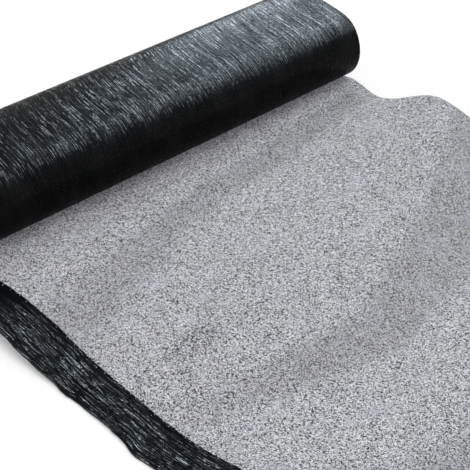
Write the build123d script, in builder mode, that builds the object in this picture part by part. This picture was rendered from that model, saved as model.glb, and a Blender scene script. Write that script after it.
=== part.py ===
"""Roll of mineral roofing felt, slumped to an oval and partly unrolled, as one solid.

X runs along the roll from the selvedge end to the granule end, the unrolled tail leaves
toward -Y, and Z is up from the floor. The origin is on the floor under the middle of the roll.
"""
import os
from math import atan2, cos, degrees, radians

from build123d import *

os.makedirs("parts", exist_ok=True)

# The felt, in millimetres: sold one metre wide, a bitumen base sheet under a layer of granules
felt_width = 1000
base_thickness = 2.7
granule_thickness = 0.8
selvedge_width = 75

# The roll: an oval slumped on its own weight, with a flat underside and a flattened top
roll_width = 242
roll_height = 149
side_share = 0.48
winding_gap = 0.5
eye_radius = 9
inner_lap = 30
turn_setback = 2.5

# Crests and troughs of the tail's underside, at four places across the felt from the selvedge
# edge to the far edge, each given as its reach from the nip under the roll and its rise off the floor
inner_share = 0.45
outer_share = 0.75
near_wave = ((183, 20), (421, 0), (495, 1), (568, 0), (781, 28), (1000, 0))
inner_wave = ((131, 10), (186, 0), (541, 15), (663, 0), (811, 16), (1000, 0))
outer_wave = ((94, 10), (151, 0), (431, 30), (601, 0), (801, 18), (1000, 0))
far_wave = ((57, 10), (118, 0), (281, 66), (571, 0), (791, 16), (1000, 0))

# Derived sizes
felt_thickness = base_thickness + granule_thickness
pitch = felt_thickness + winding_gap
side_radius = side_share * roll_height
flat_half = roll_width / 2 - side_radius
crown = roll_height - side_radius
top_radius = (flat_half**2 + crown**2 - side_radius**2) / (2 * (crown - side_radius))
shoulder = degrees(atan2(flat_half, side_radius - roll_height + top_radius))
side_sweep = 180 - shoulder
side_step = pitch / (2 * (1 + cos(radians(shoulder))))
turns = int((side_radius - eye_radius) / pitch)
eye_depth = (turns - 1) * pitch + felt_thickness
half_width = felt_width / 2
selvedge_share = selvedge_width / felt_width
selvedge_wave = [
    tuple(near + selvedge_share / inner_share * (inner - near) for near, inner in zip(*points))
    for points in zip(near_wave, inner_wave)
]


def turn(depth, start=-flat_half):
    """Draw one turn of the winding, depth inside the outermost face, and return its ends.

    The back is a little rounder than the front, so that a turn ends one pitch above its start.
    """
    floor = Line((start, depth), (flat_half, depth))
    back = JernArc(floor @ 1, floor % 1, side_radius + side_step - depth, side_sweep)
    top = JernArc(back @ 1, back % 1, top_radius - depth, 2 * shoulder)
    front = JernArc(top @ 1, top % 1, side_radius - side_step - depth, side_sweep)
    return floor @ 0, front @ 1


def tail(wave, thickness):
    """Draw the tail's section over the crests and troughs of a wave."""
    under = [(-flat_half, 0)] + [(-flat_half - reach, rise) for reach, rise in wave]
    level = [(-1, 0)] * len(under)
    lower = Spline(*under, tangents=level)
    upper = Spline(*[(along, rise + thickness) for along, rise in under], tangents=level)
    Line(lower @ 0, upper @ 0)
    Line(lower @ 1, upper @ 1)


with BuildPart() as roofing_felt_roll:
    # The wound body, out to the face of its outermost turn
    with BuildSketch(Plane.YZ.offset(-half_width)):
        with BuildLine():
            Line(*turn(0))
        make_face()
    extrude(amount=felt_width)

    # The tail in two strips: the bare selvedge, then the thicker field of granules
    edge = (selvedge_share, selvedge_wave)
    field = (edge, (inner_share, inner_wave), (outer_share, outer_wave), (1, far_wave))
    for sections, thickness in ((((0, near_wave), edge), base_thickness), (field, felt_thickness)):
        for share, wave in sections:
            with BuildSketch(Plane.YZ.offset(share * felt_width - half_width)):
                with BuildLine():
                    tail(wave, thickness)
                make_face()
        loft(ruled=True)

    # The eye, with the felt's inner end lying as a step on its floor
    with BuildSketch(Plane.YZ.offset(-half_width)):
        with BuildLine():
            floor_start, front_end = turn(eye_depth, inner_lap - flat_half)
            step = Line(front_end, front_end + Vector(inner_lap, 0))
            Line(step @ 1, floor_start)
        make_face()
    extrude(amount=felt_width, mode=Mode.SUBTRACT)

    # The turns on the ends: a turn that stands back at the selvedge end stands out at the other.
    # Each set-back turn starts one pitch late, so that its start and end don't meet at a point.
    for side, first_turn in ((-1, 1), (1, 0)):
        with BuildSketch(Plane.YZ.offset(side * half_width)):
            for number in range(first_turn, turns, 2):
                with BuildLine():
                    outer = turn(number * pitch, pitch - flat_half)
                    inner = turn((number + 1) * pitch, pitch - flat_half)
                    Line(outer[0], inner[0])
                    Line(outer[1], inner[1])
                make_face()
        extrude(amount=-side * turn_setback, mode=Mode.SUBTRACT)

roofing_felt_roll.part.label = "roofing_felt_roll"
export_step(roofing_felt_roll.part, "parts/roofing_felt_roll.step")
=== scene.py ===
# %% [markdown]
# # A roll of mineral roofing felt
# The part is one long strip of felt. Its film side is black plastic, its other side carries
# grey mineral granules, and a bare strip, the selvedge, runs along one edge. The CAD part gives
# the form as one solid. Here the strip is made again as real felt: cut flat, then wound.

import math
import random

import bmesh
import bpy
import numpy as np
from mathutils import Matrix, Vector, noise


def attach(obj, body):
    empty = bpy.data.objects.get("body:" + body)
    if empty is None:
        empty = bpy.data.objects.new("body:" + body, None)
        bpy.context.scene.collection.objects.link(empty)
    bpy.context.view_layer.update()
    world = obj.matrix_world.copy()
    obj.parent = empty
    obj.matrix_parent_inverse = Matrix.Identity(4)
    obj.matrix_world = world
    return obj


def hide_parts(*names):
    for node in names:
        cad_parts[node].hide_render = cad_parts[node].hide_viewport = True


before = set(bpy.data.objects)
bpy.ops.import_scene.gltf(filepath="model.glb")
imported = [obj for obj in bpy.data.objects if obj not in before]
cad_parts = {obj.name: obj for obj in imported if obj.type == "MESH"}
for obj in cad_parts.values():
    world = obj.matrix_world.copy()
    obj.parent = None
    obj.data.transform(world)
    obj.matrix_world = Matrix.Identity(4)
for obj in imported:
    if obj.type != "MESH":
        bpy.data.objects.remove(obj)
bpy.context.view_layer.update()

# %% [markdown]
# ## The lie of the felt
# A roll that has slumped isn't round. Its outline is a flat underside, a wide back bend, a
# slightly arched top and a front bend, each running smoothly into the next. The front bend is a
# little tighter than the back one, so that each turn ends one pitch above its own start and
# becomes the next turn. The sizes are those of the CAD part, in metres.

# %% Sizes of the felt and the winding
felt_width = 1.0
felt_thickness = 0.0035
base_thickness = 0.0027
selvedge_width = 0.075
pitch = 0.004
turns = 15
inner_lap = 0.030
turn_setback = 0.0025
roll_width, roll_height = 0.242, 0.149
side_share = 0.48

half_width = felt_width / 2
selvedge_line = selvedge_width - half_width
side_radius = side_share * roll_height
flat_half = roll_width / 2 - side_radius
crown = roll_height - side_radius
top_radius = (flat_half**2 + crown**2 - side_radius**2) / (2 * (crown - side_radius))
shoulder = math.atan2(flat_half, side_radius - roll_height + top_radius)
side_sweep = math.pi - shoulder
side_step = pitch / (2 * (1 + math.cos(shoulder)))
print("flat underside", round(2 * flat_half, 4), "top radius", round(top_radius, 4))

# %% The bends of one turn, with their centres in Y and Z


def outward(heading):
    """Point away from a bend's centre, where the felt travels at a heading from +Y."""
    return np.array((math.sin(heading), -math.cos(heading)))


back_radius, front_radius = side_radius + side_step, side_radius - side_step
back_centre = np.array((flat_half, back_radius))
top_centre = back_centre + (back_radius - top_radius) * outward(side_sweep)
front_heading = side_sweep + 2 * shoulder
front_centre = top_centre + (top_radius - front_radius) * outward(front_heading)
bends = (
    (back_centre, back_radius, 0.0, side_sweep),
    (top_centre, top_radius, side_sweep, 2 * shoulder),
    (front_centre, front_radius, front_heading, side_sweep),
)
turn_lengths = [
    2 * flat_half + sum((radius - number * pitch) * sweep for _, radius, _, sweep in bends)
    for number in range(turns)
]
turn_starts = np.concatenate(((0.0,), np.cumsum(turn_lengths)))
wound_length = turn_starts[-1] + inner_lap
print("felt wound", round(wound_length, 3), "m in", turns, "turns")

# %% Where a length of wound felt lies


def wind(along, depth):
    """Give Y and Z at a length along the film from the nip and a depth under the film."""
    y, z = np.zeros_like(along), np.zeros_like(along)
    for number, start in enumerate(turn_starts):
        inset = number * pitch
        run = along - start
        flat = run >= 0
        y[flat] = run[flat] - flat_half
        z[flat] = inset + depth[flat]
        run = run - 2 * flat_half
        for centre, radius, heading, sweep in bends:
            bent = run >= 0
            angle = heading + run[bent] / (radius - inset)
            arm = radius - inset - depth[bent]
            y[bent] = centre[0] + arm * np.sin(angle)
            z[bent] = centre[1] - arm * np.cos(angle)
            run = run - (radius - inset) * sweep
    return y, z


# %% [markdown]
# The unrolled tail lies on the floor in shallow waves, because felt keeps some of the bend that
# it had on the roll. Four sections across the tail give the reach and rise of each crest and
# trough, in millimetres. Between them an ease, flat at both ends, makes a soft wave with no kinks.

# %% The waves of the tail
tail_length = 1.0
millimetres = 1000
wave_shares = (0, 0.45, 0.75, 1)
waves = np.array((
    ((0, 0), (183, 20), (421, 0), (495, 1), (568, 0), (781, 28), (1000, 0)),
    ((0, 0), (131, 10), (186, 0), (541, 15), (663, 0), (811, 16), (1000, 0)),
    ((0, 0), (94, 10), (151, 0), (431, 30), (601, 0), (801, 18), (1000, 0)),
    ((0, 0), (57, 10), (118, 0), (281, 66), (571, 0), (791, 16), (1000, 0)),
)) / millimetres


def ease(share):
    """Go from 0 to 1, level at both ends."""
    share = np.clip(share, 0, 1)
    return share * share * (3 - 2 * share)


def tail_rise(across, reach):
    """Give the height of the tail's film over the floor."""
    share = across / felt_width + 0.5
    points = [
        [np.interp(share, wave_shares, waves[:, number, part]) for part in (0, 1)]
        for number in range(waves.shape[1])
    ]
    rise = np.zeros_like(reach)
    for (near, low), (far, high) in zip(points, points[1:]):
        between = (reach >= near) & (reach <= far)
        step = low + (high - low) * ease((reach - near) / (far - near))
        rise[between] = step[between]
    return rise


print("highest wave", round(float(waves[:, :, 1].max()), 3), "m")

# %% [markdown]
# ## Cutting the felt flat
# A strip is simplest to make flat, as a factory does: a grid for the film side, extruded to its
# thickness. Every corner keeps its flat place, across, along and through the felt, in an
# attribute called flat. The materials read it, so their grain follows the felt round each bend.
# After that one function winds the strip, by moving every corner to where it comes to lie. It also
# keeps how steeply the tail goes down there, in an attribute called fall, which the granules use
# for painted shade.

# %% Meshes and objects


def mesh_from(name, shape):
    """Turn a finished bmesh into a mesh."""
    mesh = bpy.data.meshes.new(name)
    shape.to_mesh(mesh)
    shape.free()
    return mesh


def add_object(name, data):
    """Put a mesh, a lamp or a camera into the scene."""
    made = bpy.data.objects.new(name, data)
    bpy.context.scene.collection.objects.link(made)
    return made


# %% A flat strip, as a unit grid with a column and a row for each place asked for
film, granules, cut_edge, bare_strip = range(4)


def cut_felt(columns, rows, bare_columns):
    """Make a flat strip of felt as a bmesh, with finishes on its two faces and its edges.

    The first bare_columns columns of faces, from the selvedge edge, have no granules on top.
    """
    strip = bmesh.new()
    bmesh.ops.create_grid(
        strip, x_segments=len(columns) - 1, y_segments=len(rows) - 1, size=0.5
    )
    raised = bmesh.ops.extrude_face_region(strip, geom=strip.faces[:])["geom"]
    upper = [part for part in raised if isinstance(part, bmesh.types.BMVert)]
    bmesh.ops.translate(strip, verts=upper, vec=(0, 0, 1))
    bmesh.ops.recalc_face_normals(strip, faces=strip.faces[:])
    bare_to = bare_columns / (len(columns) - 1) - 0.5
    for face in strip.faces:
        face.material_index = film if face.normal.z < -0.5 else cut_edge
        face.smooth = abs(face.normal.z) > 0.5
        if face.normal.z > 0.5:
            bare = face.calc_center_median().x < bare_to
            face.material_index = bare_strip if bare else granules
    for edge in strip.edges:
        edge.smooth = all(face.smooth for face in edge.link_faces)
    return strip


def flat_places(mesh, columns, rows):
    """Read where each corner of a cut strip is: across, along, and whether it is on top."""
    corners = np.empty(len(mesh.vertices) * 3)
    mesh.vertices.foreach_get("co", corners)
    corners = corners.reshape(-1, 3)
    column = np.rint((corners[:, 0] + 0.5) * (len(columns) - 1)).astype(int)
    row = np.rint((corners[:, 1] + 0.5) * (len(rows) - 1)).astype(int)
    return np.asarray(columns)[column], np.asarray(rows)[row], corners[:, 2] > 0.5


# %% Winding a strip
settle_length = 0.05
fall_before, fall_after = 0.035, 0.015


def side_shift(across, along):
    """Give X: each turn stands out a little at one end of the roll and back at the other."""
    number = np.clip(np.searchsorted(turn_starts, along, "right") - 1, 0, turns)
    settled = np.clip((along - turn_starts[number]) / settle_length, 0, 1) * (along >= 0)
    side = np.where(number % 2, 0.5, -0.5)
    before = np.where(number > 0, -side, 0)
    narrowed = np.where(number > 0, 1, settled)
    lean = before + (side - before) * settled
    return across * (1 - turn_setback * narrowed) + turn_setback * lean


def tail_fall(across, reach):
    """Give the tail's slope down, away from the roll."""
    drop = tail_rise(across, reach - fall_before) - tail_rise(across, reach + fall_after)
    return drop / (fall_before + fall_after)


def lay_felt(name, strip, columns, rows, shape):
    """Wind or lay a cut strip. shape gives the places across and the depths of its corners."""
    mesh = mesh_from(name, strip)
    cut_across, along, on_top = flat_places(mesh, columns, rows)
    across, depth = shape(cut_across, along, on_top)
    y, z = wind(along, depth)
    tail = along < 0
    y[tail] = along[tail] - flat_half
    z[tail] = tail_rise(across, -along)[tail] + depth[tail]
    x = side_shift(across, along)
    mesh.vertices.foreach_set("co", np.column_stack((x, y, z)).ravel())
    flat = mesh.attributes.new("flat", "FLOAT_VECTOR", "POINT")
    flat.data.foreach_set("vector", np.column_stack((cut_across, along, depth)).ravel())
    fall = mesh.attributes.new("fall", "FLOAT", "POINT")
    fall.data.foreach_set("value", tail_fall(across, -along))
    mesh.update()
    piece = add_object(name, mesh)
    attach(piece, "root")
    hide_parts("roofing_felt_roll")
    box = [round(max(edge) - min(edge), 4) for edge in (x, y, z)]
    print(name, "triangles", 2 * len(mesh.polygons), "size", box)
    return piece


# %% Noise for relief
fold_gain = 2.4


def grain(across, along, pitch_across, length_along, seed):
    """Seeded noise, drawn out along the felt, for a list of flat places."""
    return np.array([
        noise.noise(Vector((a / pitch_across, b / length_along, seed)))
        for a, b in zip(across, along)
    ])


def edge_grain(along, length_along, seed):
    """Seeded noise along one edge of the felt."""
    return grain(0 * along, along, 1, length_along, seed)


def crests(across, along, pitch_across, length_along, seed):
    """Seeded noise, folded at its middle value into sharp crests."""
    return 1 - fold_gain * np.abs(grain(across, along, pitch_across, length_along, seed))


# %% [markdown]
# ## The tail
# The tail shows most: its granules, the bare selvedge, and the small step between them.
# Its grid has close columns in the selvedge, where the film is crinkled, a pair of columns only
# a hair apart at the ragged edge of the granules, and wide columns in the field.

# %% The columns and rows of the tail
line_half = 0.0004
selvedge_count, field_count = 58, 132
tail_row_count, nip_row_count = 221, 5
selvedge_columns = np.linspace(-half_width, selvedge_line - line_half, selvedge_count)
field_columns = np.linspace(selvedge_line + line_half, half_width, field_count)
tail_columns = np.concatenate((selvedge_columns, field_columns))
open_rows = np.linspace(-tail_length, 0, tail_row_count)
tail_rows = np.concatenate((open_rows, np.linspace(0, flat_half, nip_row_count)[1:]))
print("tail grid", len(tail_columns), "by", len(tail_rows))

# %% [markdown]
# On felt that has been handled, neither edge is quite straight. Two short tables give places
# along the tail, in metres, and how far the granules' edge and the felt's own edge have wandered
# there, in millimetres. Each fray has its reach, its length along the edge and its seed.

# %% The wander and relief of the tail
line_wander = np.array((
    (-1, 6), (-0.7, 12.5), (-0.62, 6.5), (-0.53, 0), (-0.49, 1),
    (-0.44, 3), (-0.36, 7), (-0.28, 10), (0, 0),
)) / (1, millimetres)
edge_wander = np.array((
    (-1, 3), (-0.6, 4), (-0.545, 3), (-0.505, 8), (-0.465, 8), (-0.42, 7), (-0.34, 5), (0, 2),
)) / (1, millimetres)
wander_width = 0.065
ragged_reach, ragged_length = 0.0009, 0.006
crinkle_height, crinkle_sink = 0.0004, 0.0001
crinkle_pitch, crinkle_length = 0.0052, 0.12
ripple_share, ripple_pitch, ripple_length = 0.2, 0.011, 0.1
fray_width = 0.04
frays = ((0.004, 0.045, 9.2), (0.001, 0.011, 6.6))


def line_shift(along):
    """Give how far the granules' edge has wandered from its straight line."""
    return np.interp(along, line_wander[:, 0], line_wander[:, 1])


def edge_shift(across, along):
    """Give how far the felt's near edge, and what is close to it, is frayed or wanders."""
    frayed = np.interp(along, edge_wander[:, 0], edge_wander[:, 1])
    for reach, length, seed in frays:
        frayed += reach * edge_grain(along, length, seed)
    return frayed * np.interp(across, (-half_width, fray_width - half_width), (1, 0))


def shape_tail(across, along, on_top):
    """Wander the granules' edge, and crinkle the bare film beside it."""
    wander_places = (-half_width, selvedge_line, selvedge_line + wander_width)
    near_line = np.interp(across, wander_places, (0, 1, 0))
    ragged = ragged_reach * edge_grain(along, ragged_length, seed=3.1)
    at_line = np.abs(across - selvedge_line) < 2 * line_half
    bare = across < selvedge_line
    crinkle = crests(across, along, crinkle_pitch, crinkle_length, seed=7.7)
    crinkle += ripple_share * grain(across, along, ripple_pitch, ripple_length, seed=2.3)
    bare_depth = base_thickness + crinkle_height * crinkle - crinkle_sink
    depth = np.where(on_top, np.where(bare, bare_depth, felt_thickness), 0)
    shift = near_line * line_shift(along) + at_line * ragged + edge_shift(across, along)
    return across + shift, depth


felt_tail = lay_felt(
    "felt_tail",
    cut_felt(tail_columns, tail_rows, selvedge_count),
    tail_columns, tail_rows, shape_tail,
)

# %% [markdown]
# ## Loose granules
# Where the field of granules ends, some grains have strayed onto the bare film. Each is a small
# crushed stone. An icosphere with few faces, stretched and turned, is enough for a grain of a
# millimetre, and a seeded generator scatters them in the same places on every run. They get fewer
# away from the granules' edge, at a rate per metre. A few further out, in two small groups, are
# listed one by one, across and along the felt.

# %% Scatter the loose granules
scatter = random.Random(11)
placed = [(-0.449, -0.334), (-0.452, -0.331), (-0.446, -0.337), (-0.444, -0.362), (-0.441, -0.366)]
stray_count, stray_jitter, stray_rate = 90, 0.006, 700
stray_from, stray_to = -0.98, -0.03
stone_small, stone_large, stone_lift = 0.0005, 0.0009, 0.5
stone_stretch = Matrix.Diagonal((1.3, 0.9, 0.8, 1))
strayed = placed[:]
for along in np.linspace(stray_from, stray_to, stray_count):
    along += scatter.uniform(-stray_jitter, stray_jitter)
    edge = selvedge_line + line_shift(along)
    strayed.append((edge - scatter.expovariate(stray_rate), along))
stones = bmesh.new()
for across, along in strayed:
    radius = scatter.uniform(stone_small, stone_large)
    film_height = tail_rise(np.array((across,)), np.array((-along,)))[0]
    rise = film_height + base_thickness + stone_lift * radius
    place = Matrix.Translation((across, along - flat_half, rise))
    turned = Matrix.Rotation(scatter.uniform(0, math.tau), 4, "Z") @ stone_stretch
    bmesh.ops.create_icosphere(stones, subdivisions=1, radius=radius, matrix=place @ turned)
loose_granules = add_object("loose_granules", mesh_from("loose_granules", stones))
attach(loose_granules, "root")
print("loose granules", len(strayed), "triangles", len(loose_granules.data.polygons))

# %% [markdown]
# ## The outer turn
# The roll's outside is film, shrunk into dense creases that run round the roll. The larger
# creases are real relief here, so that they catch the light from any side. Finer ones are left
# to the material. Both lean over toward the back of the roll and fade on its front. Under the
# roll the film is pressed smooth on the floor, and at the far end the front shoulder stands a
# little fuller.

# %% The creases and the shoulder
outer_column_count, outer_row_count = 451, 108
outer_columns = np.linspace(-half_width, half_width, outer_column_count)
outer_rows = np.linspace(flat_half, turn_starts[1] + flat_half, outer_row_count)
top_from = 2 * flat_half + back_radius * side_sweep
top_length = 2 * top_radius * shoulder
front_from = top_from + top_length
lean_share, lean_reach, crease_lean = 0.75, 0.1, 2.6
lean_from = top_from + lean_share * top_length
crease_rise, crease_pitch, crease_length = 0.00013, 0.0068, 0.15
fade_setback, fade_length = 0.02, 0.035
fade_from = front_from + fade_setback
relief_fade, line_fade = 0.75, 0.8
pressed_height, pressed_ease = 0.006, 0.02
swell_rise, swell_start = 0.0026, 0.25
swell_setback, swell_spread = 0.025, 0.03
swell_place = front_from + swell_setback
print("top from", round(top_from, 4), "to", round(front_from, 4), "m along the felt")

# %% Cut and wind the outer turn


def shape_outer_turn(across, along, on_top):
    """Raise creases on the film, and let the turn stand off a little at the far end's shoulder."""
    height = wind(along, 0 * along)[1]
    leaning = across - crease_lean * np.clip(lean_from - along, 0, lean_reach) ** 2
    crease = crests(leaning, along, crease_pitch, crease_length, seed=5.5)
    clear = ease((height - pressed_height) / pressed_ease)
    clear *= 1 - relief_fade * ease((along - fade_from) / fade_length)
    swell = swell_rise * ease((across - swell_start) / (half_width - swell_start))
    swell *= np.exp(-(((along - swell_place) / swell_spread) ** 2))
    depth = np.where(on_top, felt_thickness, -crease_rise * crease * clear) - swell
    return across, depth


felt_outer_turn = lay_felt(
    "felt_outer_turn",
    cut_felt(outer_columns, outer_rows, 0),
    outer_columns, outer_rows, shape_outer_turn,
)

# %% [markdown]
# ## The inner turns
# Only the ends of the inner turns show, and the eye that they leave in the middle. They need
# few columns, but many rows, because a bend seen from its end has to look round. On the
# selvedge end the felt is thinner, as it has no granules there, so the turns stand further apart.

# %% Cut and wind the inner turns
row_length = 0.005
end_wander, end_wander_length = 0.0005, 0.11
line_columns = (selvedge_line - line_half, selvedge_line + line_half)
inner_columns = np.array((-half_width, *line_columns, 0.0, half_width))
inner_start = turn_starts[1] + flat_half
inner_row_count = int((wound_length - inner_start) / row_length)
inner_rows = np.linspace(inner_start, wound_length, inner_row_count)


def shape_inner_turns(across, along, on_top):
    """Give the felt its thickness, and let its edges wander a little along the winding."""
    bare = across < selvedge_line
    depth = np.where(on_top, np.where(bare, base_thickness, felt_thickness), 0)
    wander = end_wander * edge_grain(along, end_wander_length, seed=4.4)
    return across + wander, depth


felt_inner_turns = lay_felt(
    "felt_inner_turns",
    cut_felt(inner_columns, inner_rows, 1),
    inner_columns, inner_rows, shape_inner_turns,
)

# %% [markdown]
# ## Finishes
# A material is a net of nodes. The class below holds one node's output, so that sums on it can
# be written as Python: each operator adds a Math node to the same net. Its one method for other
# nodes takes the node's type, the values or links of its sockets, and its settings.

# %% A node's output that Python can calculate with


class Signal:
    """One output socket of a material's nodes."""

    def __init__(self, tree, socket=None):
        self.tree, self.socket = tree, socket

    def node(self, kind, inputs=(), output=0, **settings):
        """Add a node of a type, set it, fill its sockets, and give one of its outputs."""
        made = self.tree.nodes.new("ShaderNode" + kind)
        for name, value in settings.items():
            setattr(made, name, value)
        for name, value in dict(inputs).items():
            if isinstance(value, Signal):
                self.tree.links.new(value.socket, made.inputs[name])
            else:
                made.inputs[name].default_value = value
        return Signal(self.tree, made.outputs[output] if made.outputs else None)

    def math(self, operation, first, second=0.0):
        """Add a Math node for two values."""
        return self.node("Math", {0: first, 1: second}, operation=operation)

    def __add__(self, other):
        return self.math("ADD", self, other)

    def __sub__(self, other):
        return self.math("SUBTRACT", self, other)

    def __rsub__(self, other):
        return self.math("SUBTRACT", other, self)

    def __mul__(self, other):
        return self.math("MULTIPLY", self, other)

    def __truediv__(self, other):
        return self.math("DIVIDE", self, other)

    def __rtruediv__(self, other):
        return self.math("DIVIDE", other, self)

    def __pow__(self, other):
        return self.math("POWER", self, other)

    def __rpow__(self, other):
        return self.math("POWER", other, self)

    def __abs__(self):
        return self.math("ABSOLUTE", self)

    def over(self, low, high):
        """Go from 0 to 1 as the value goes from low to high."""
        return self.node("MapRange", {0: self, 1: low, 2: high}, interpolation_type="SMOOTHSTEP")

    def blend(self, first, second):
        """Mix two colours, with this value as the share of the second.

        A Mix node has its colours on sockets 6 and 7, and the mixed one on output 2.
        """
        shades = {0: self, 6: first, 7: second}
        return self.node("Mix", shades, 2, data_type="RGBA", clamp_factor=True)

    __radd__, __rmul__ = __add__, __mul__


# %% Starting and ending a finish
finishes = {}


def start_finish(name):
    """Make a material with no nodes, and give a signal to build on."""
    material = bpy.data.materials.new(name)
    material.use_nodes = True
    material.node_tree.nodes.clear()
    finishes[name] = material
    return Signal(material.node_tree)


def bump(net, height, relief):
    """Give the normal of a height, with a relief in metres."""
    return net.node("Bump", {"Strength": 1.0, "Distance": relief, "Height": height})


def close_finish(name, net, shader):
    """Link the shader to the material's output."""
    net.node("OutputMaterial", {"Surface": shader})
    print(name, "nodes", len(net.tree.nodes))


# %% Reading the felt's flat places


def flat_parts(net):
    """Give the flat place of the felt, and its three numbers: across, along and depth."""
    flat = net.node("Attribute", output=1, attribute_name="flat")
    parts = net.node("SeparateXYZ", {0: flat}).socket.node.outputs
    return flat, *(Signal(net.tree, part) for part in parts)


def felt_grain(net, pitch_across, length_along, detail=2.0, twist=0.0, lean=0.0):
    """Noise on the felt's flat places, drawn out along the felt. A lean bends it at the back."""
    flat, across, along, _ = flat_parts(net)
    if lean:
        past = net.node("Clamp", {0: lean_from - along, 1: 0.0, 2: lean_reach})
        flat = net.node("CombineXYZ", {0: across - past * past * lean, 1: along})
    scale = (1 / pitch_across, 1 / length_along, 1)
    place = net.node("VectorMath", {0: flat, 1: scale}, operation="MULTIPLY")
    settings = {"Vector": place, "Scale": 1.0, "Detail": detail, "Distortion": twist}
    return net.node("TexNoise", settings)


# %% [markdown]
# ## Film
# The film is thin black plastic, melted on and crinkled along the felt. It is darker than most
# things indoors, so nearly all that the eye sees on it is reflected light. The crests of the
# creases are polished and the furrows are dull, so the finish mixes a shiny film and a dull one.
# Both sets of lines come from noise folded at its middle value, which gives sharp lines with soft
# sides. A third noise breaks the lines up, and a fine one gives the polish a leathery grain. On the
# roll a low index of refraction keeps the front dark and leaves the sheen to the grazing top.

# %% The film's finish
line_twist, furrow_share, furrow_dulling = 0.1, 0.8, 0.95
breaks_per_line, break_range = 6, (0.35, 0.6)
worn_width, worn_length, worn_range = 0.05, 0.07, (0.42, 0.68)
leather_width, leather_length, leather_range = 0.003, 0.005, (0.3, 0.7)
leather_least, leather_gain = 0.35, 1.3
dusty_from, dusty_to, dusty_least = 0.004, 0.024, 0.25
dull_roughness, dull_index, worn_roughness = 0.6, 1.04, 0.06
film_dark, film_worn = (0.0020, 0.0023, 0.0026, 1), (0.0052, 0.0055, 0.006, 1)


def film_lines(net, pitch_across, length_along, edge, lean):
    """Give lines along the felt, 1 at their middle. A greater edge makes them narrower."""
    folded = felt_grain(net, pitch_across, length_along, detail=1.0, twist=line_twist, lean=lean)
    return (1 - abs(folded * 2 - 1)) ** edge


def film_finish(name, pitch_across, length_along, relief, roughness, index, ground, edge, lean=0.0):
    """Black film with creases of a pitch and a length, where ground is the polish between them.

    With a lean it is the roll's film, and without one the selvedge's.
    """
    net = start_finish(name)
    across, along = flat_parts(net)[1:3]
    ridges = film_lines(net, pitch_across, length_along, edge, lean)
    furrow_pitch, furrow_length = pitch_across * furrow_share, length_along * furrow_share
    furrows = film_lines(net, furrow_pitch, furrow_length, edge, lean)
    break_length = length_along / breaks_per_line
    breaks = felt_grain(net, pitch_across, break_length, detail=1.0, lean=lean).over(*break_range)
    if lean:
        breaks = breaks * (1 - line_fade * along.over(fade_from, fade_from + fade_length))
    ridges, furrows = ridges * breaks, furrows * breaks
    worn = felt_grain(net, worn_width, worn_length, detail=3.0).over(*worn_range)
    leather = felt_grain(net, leather_width, leather_length, detail=1.0).over(*leather_range)
    polish = (ridges * (1 - ground) + ground) * (1 - furrow_dulling * furrows)
    polish = polish * (leather_least + leather_gain * leather)
    if not lean:
        clean = (selvedge_line - across).over(dusty_from, dusty_to)
        polish = polish * (dusty_least + (1 - dusty_least) * clean)
    skin = {
        "Base Color": worn.blend(film_dark, film_worn),
        "Normal": bump(net, ridges - furrows, relief),
    }
    dull = net.node("BsdfPrincipled", skin | {"Roughness": dull_roughness, "IOR": dull_index})
    rubbed = roughness + worn * worn_roughness
    shiny = net.node("BsdfPrincipled", skin | {"Roughness": rubbed, "IOR": index})
    close_finish(name, net, net.node("MixShader", {0: polish, 1: dull, 2: shiny}))


film_finish(
    "film_black", pitch_across=0.006, length_along=0.15, relief=0.0003,
    roughness=0.20, index=1.29, ground=0.18, edge=9, lean=crease_lean,
)
film_finish(
    "selvedge_film", pitch_across=0.0044, length_along=0.12, relief=0.0004,
    roughness=0.13, index=1.6, ground=0.02, edge=16,
)

# %% [markdown]
# ## Granules
# Crushed stone is pressed into hot bitumen, so the face is a crust of small grains in many
# greys, with dark ones scattered among them and bitumen showing in the gaps. Cells of a Voronoi
# texture stand for the grains: each has its own random shade, and the distance from its middle
# gives both the dark gap and the bump. Over these lie slower changes: dark grains gather in spots
# and in one rubbed patch, and a thin bluish dust lies here and there. Slopes that fall away from
# the roll are painted darker, a painted shade for the light that they turn away from.

# %% The grains and their shades
grain_size, grain_relief = 0.00175, 0.0009
stone_dark, stone_light = (0.30, 0.302, 0.318, 1), (0.95, 0.953, 0.99, 1)
stone_black, gap_black = (0.02, 0.02, 0.022, 1), (0.04, 0.04, 0.043, 1)
gap_range, gap_share = (0.42, 0.76), 0.92
black_lots, spot_lots, scuff_lots = (0.80, 0.83), (0.66, 0.72), (0.60, 0.66)
spot_size, spot_range, spot_share = 0.035, (0.55, 0.7), 0.7
scuff_across, scuff_along, scuff_range = -0.28, -0.437, (0.0, 1.3)
scuff_half_width, scuff_half_length = 1 / 13, 1 / 32


def rubbed_patch(net):
    """Give 1 in the middle of the rubbed patch, and 0 outside it."""
    across, along = flat_parts(net)[1:3]
    aside = (across - scuff_across) / scuff_half_width
    ahead = (along - scuff_along) / scuff_half_length
    return 1 - (aside**2 + ahead**2).over(*scuff_range)


def granule_crust(net):
    """Give the colour of the grains and the gaps between them, and their height.

    Each grain draws two lots: the first gives its grey, and the second says if it is black.
    """
    cells = {"Vector": flat_parts(net)[0], "Scale": 1 / grain_size, "Randomness": 1.0}
    middle = net.node("TexVoronoi", cells, 0, voronoi_dimensions="2D")
    shade = net.node("TexVoronoi", cells, 1, voronoi_dimensions="2D")
    lot = net.node("SeparateColor", {0: shade})
    second_lot = Signal(net.tree, lot.socket.node.outputs[1])
    spots = felt_grain(net, spot_size, spot_size).over(*spot_range) * spot_share
    dark = second_lot.over(*black_lots) + spots * second_lot.over(*spot_lots)
    dark = dark + rubbed_patch(net) * second_lot.over(*scuff_lots)
    stone = dark.blend(lot.blend(stone_dark, stone_light), stone_black)
    gap = middle.over(*gap_range) * gap_share
    return gap.blend(stone, gap_black), 1 - middle


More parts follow.
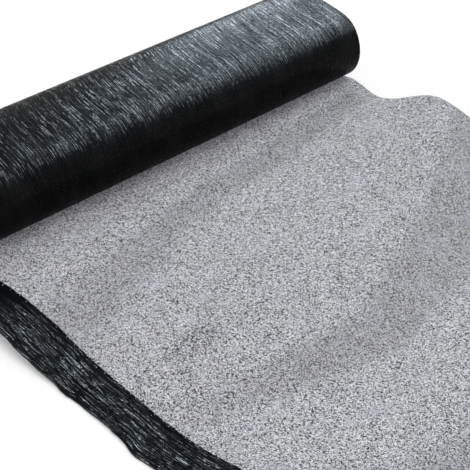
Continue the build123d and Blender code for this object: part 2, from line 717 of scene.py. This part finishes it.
# %% The granules' finish
stone_roughness, crust_index = 0.86, 1.25
tone_width, tone_length = 0.09, 0.06
dust_width, dust_length = 0.07, 0.05
# Painted shade: the slopes that fall away from the roll are darkened toward the first grey here.
fall_painted_shade, fall_shade_range, fall_shade_share = (0.16, 0.16, 0.165, 1), (0, 0.16), 0.33
tone_grey, tone_range, tone_share = (0.25, 0.25, 0.262, 1), (0.3, 0.7), 0.08
dust_blue, dust_range, dust_share = (0.56, 0.62, 0.80, 1), (0.52, 0.7), 0.12


def granule_finish(name):
    """The mineral face: the crust of grains, with slower changes and painted shade over it."""
    net = start_finish(name)
    colour, height = granule_crust(net)
    fall = net.node("Attribute", output=2, attribute_name="fall")
    tone = felt_grain(net, tone_width, tone_length, detail=3.0)
    dust = felt_grain(net, dust_width, dust_length)
    # The first change is painted shade on falling slopes. The other two are random tone and dust.
    for change, span, share, shade in (
        (fall, fall_shade_range, fall_shade_share, fall_painted_shade),
        (tone, tone_range, tone_share, tone_grey),
        (dust, dust_range, dust_share, dust_blue),
    ):
        colour = (change.over(*span) * share).blend(colour, shade)
    skin = {"Base Color": colour, "Roughness": stone_roughness, "IOR": crust_index}
    skin["Normal"] = bump(net, height, grain_relief)
    close_finish(name, net, net.node("BsdfPrincipled", skin))


granule_finish("granule_face")

# %% [markdown]
# A loose grain is one stone of the same kind, so it has one of the same greys. Noise on the
# object's own coordinates, coarser than a grain, gives each one nearly a single shade.

# %% The loose granules' finish
shades_per_metre, loose_range = 300.0, (0.3, 0.7)
loose_relief, loose_index = 0.0002, 1.4
loose_dark, loose_light = (0.28, 0.282, 0.30, 1), (0.80, 0.803, 0.84, 1)


def stone_finish(name):
    """One loose stone, in nearly one shade."""
    net = start_finish(name)
    place = net.node("TexCoord", output=3)
    shade = net.node("TexNoise", {"Vector": place, "Scale": shades_per_metre, "Detail": 1.0})
    colour = shade.over(*loose_range).blend(loose_dark, loose_light)
    skin = {"Base Color": colour, "Roughness": stone_roughness, "IOR": loose_index}
    skin["Normal"] = bump(net, shade, loose_relief)
    close_finish(name, net, net.node("BsdfPrincipled", skin))


stone_finish("loose_stone")

# %% [markdown]
# ## Cut edges
# The cut edge of the felt is dull black bitumen, slightly torn, with the granules as a thin grey
# line along one side. The flat attribute's third number is the depth from the film, so the edge
# knows where the bitumen ends.

# %% The edges' finish
torn_width, torn_length, torn_relief = 0.002, 0.004, 0.0008
bitumen_blur, bitumen_roughness, bitumen_index = 0.0001, 0.72, 1.4
bitumen_black, edge_grey = (0.012, 0.012, 0.013, 1), (0.24, 0.242, 0.252, 1)


def edge_finish(name):
    """Torn bitumen, with stone past the base sheet's thickness."""
    net = start_finish(name)
    depth = flat_parts(net)[3]
    torn = felt_grain(net, torn_width, torn_length, detail=3.0)
    torn_depth = depth + (torn - 0.5) * torn_relief
    stony = torn_depth.over(base_thickness - bitumen_blur, base_thickness + bitumen_blur)
    colour = stony.blend(bitumen_black, edge_grey)
    skin = {"Base Color": colour, "Roughness": bitumen_roughness, "IOR": bitumen_index}
    skin["Normal"] = bump(net, torn, torn_relief)
    close_finish(name, net, net.node("BsdfPrincipled", skin))


edge_finish("cut_bitumen")

# %% Give the pieces their finishes
loose_granules.data.materials.append(finishes["loose_stone"])
for piece in (felt_tail, felt_outer_turn, felt_inner_turns):
    for name in ("film_black", "granule_face", "cut_bitumen", "selvedge_film"):
        piece.data.materials.append(finishes[name])
print("finishes", list(finishes))

# %% [markdown]
# ## Stage
# A plain pale floor, and soft light from above and from behind. The lamp behind casts no shadow, so
# the felt stays light right up to the roll, as it does in a bright room. The world is white
# wherever the camera or a reflection looks at it, and dimmer as a lamp, so that the lamps can
# shade the felt. Three cards that only reflections see stand in the place of a window beyond the
# roll's far end, where the film's top mirrors them.

# %% What the camera and reflections see
white = (1, 1, 1, 1)


def seen(net):
    """Give 1 for rays from the camera, a reflection or glass, and 0 for light on its way."""
    outputs = net.node("LightPath").socket.node.outputs
    kinds = ("Is Camera Ray", "Is Glossy Ray", "Is Transmission Ray")
    camera_ray, glossy_ray, glass_ray = (Signal(net.tree, outputs[kind]) for kind in kinds)
    return net.math("MAXIMUM", net.math("MAXIMUM", camera_ray, glossy_ray), glass_ray)


# %% The floor
floor_half, floor_drop = 15, 0.0008
floor_pale, floor_glow = (0.86, 0.86, 0.86, 1), 0.12


def floor_finish(name):
    """Pale paint, a little lighter where the camera or a reflection looks at it."""
    net = start_finish(name)
    paint = net.node("BsdfDiffuse", {"Color": floor_pale})
    glow = net.node("Emission", {"Color": white, "Strength": floor_glow})
    both = net.node("AddShader", {0: paint, 1: glow})
    close_finish(name, net, net.node("MixShader", {0: seen(net), 1: paint, 2: both}))


sheet = bmesh.new()
bmesh.ops.create_grid(sheet, x_segments=1, y_segments=1, size=floor_half)
bmesh.ops.translate(sheet, verts=sheet.verts[:], vec=(0, 0, -floor_drop))
floor = add_object("floor", mesh_from("floor", sheet))
floor_finish("floor_white")
floor.data.materials.append(finishes["floor_white"])

# %% The world
dome = 0.42
world = bpy.data.worlds.new("studio")
bpy.context.scene.world = world
world.use_nodes = True
world.node_tree.nodes.clear()
net = Signal(world.node_tree)
sky = net.node("Background", {"Color": white, "Strength": dome + seen(net) * (1 - dome)})
net.node("OutputWorld", {"Surface": sky})
print("world nodes", len(world.node_tree.nodes))

# %% The lamps and the cards
lamp_spread = math.radians(55)
card_blue = (0.76, 0.90, 1.0)


def aim(lamp, place, target):
    """Hang a lamp at a place, turned toward a point, and out of the camera's sight."""
    hung = add_object(lamp.name, lamp)
    hung.location = place
    hung.rotation_euler = (Vector(target) - Vector(place)).to_track_quat("-Z", "Y").to_euler()
    hung.visible_camera = False
    return hung


for name, place, strength, shadow in (
    ("top_lamp", (0.7, -1.2, 3.6), 1.0, True),
    ("back_lamp", (2.4, 2.0, 2.6), 1.65, False),
):
    lamp = bpy.data.lights.new(name, "SUN")
    lamp.energy, lamp.angle, lamp.use_shadow = strength, lamp_spread, shadow
    aim(lamp, place, (0, 0, 0)).visible_glossy = False
for name, place, wide, high, power in (
    ("wide_card", (1.3, 0.5, 1.65), 1.8, 2.3, 31),
    ("side_card", (1.1, -0.05, 1.15), 1.1, 1.4, 84),
    ("back_card", (1.1, 0.9, 0.7), 0.8, 0.9, 28),
):
    card = bpy.data.lights.new(name, "AREA")
    card.color = card_blue
    card.shape, card.size, card.size_y, card.energy = "RECTANGLE", wide, high, power
    aim(card, place, (0, *place[1:])).visible_diffuse = False
print("lamps and cards", len(bpy.data.lights))

# %% [markdown]
# ## Camera
# The camera stands where the photographer stood, worked out from the roll's outline, the lines
# of the selvedge and the far edge. Its three directions make the camera's matrix.

# %% The camera
stand = (-1.397, -1.677, 1.430)
right, up, ahead = (0.7238, -0.6890, 0.0378), (0.3894, 0.4531, 0.8019), (0.5697, 0.5657, -0.5962)
film_gate, focal_length = 36, 107.2
view = bpy.data.cameras.new("camera")
view.sensor_width, view.lens = film_gate, focal_length
camera = add_object("camera", view)
turn_to = Matrix((right, up, -Vector(ahead))).transposed().to_4x4()
camera.matrix_world = Matrix.Translation(stand) @ turn_to
bpy.context.scene.camera = camera
bpy.context.scene.view_settings.view_transform = "Standard"
print("camera at", stand, "lens", focal_length)
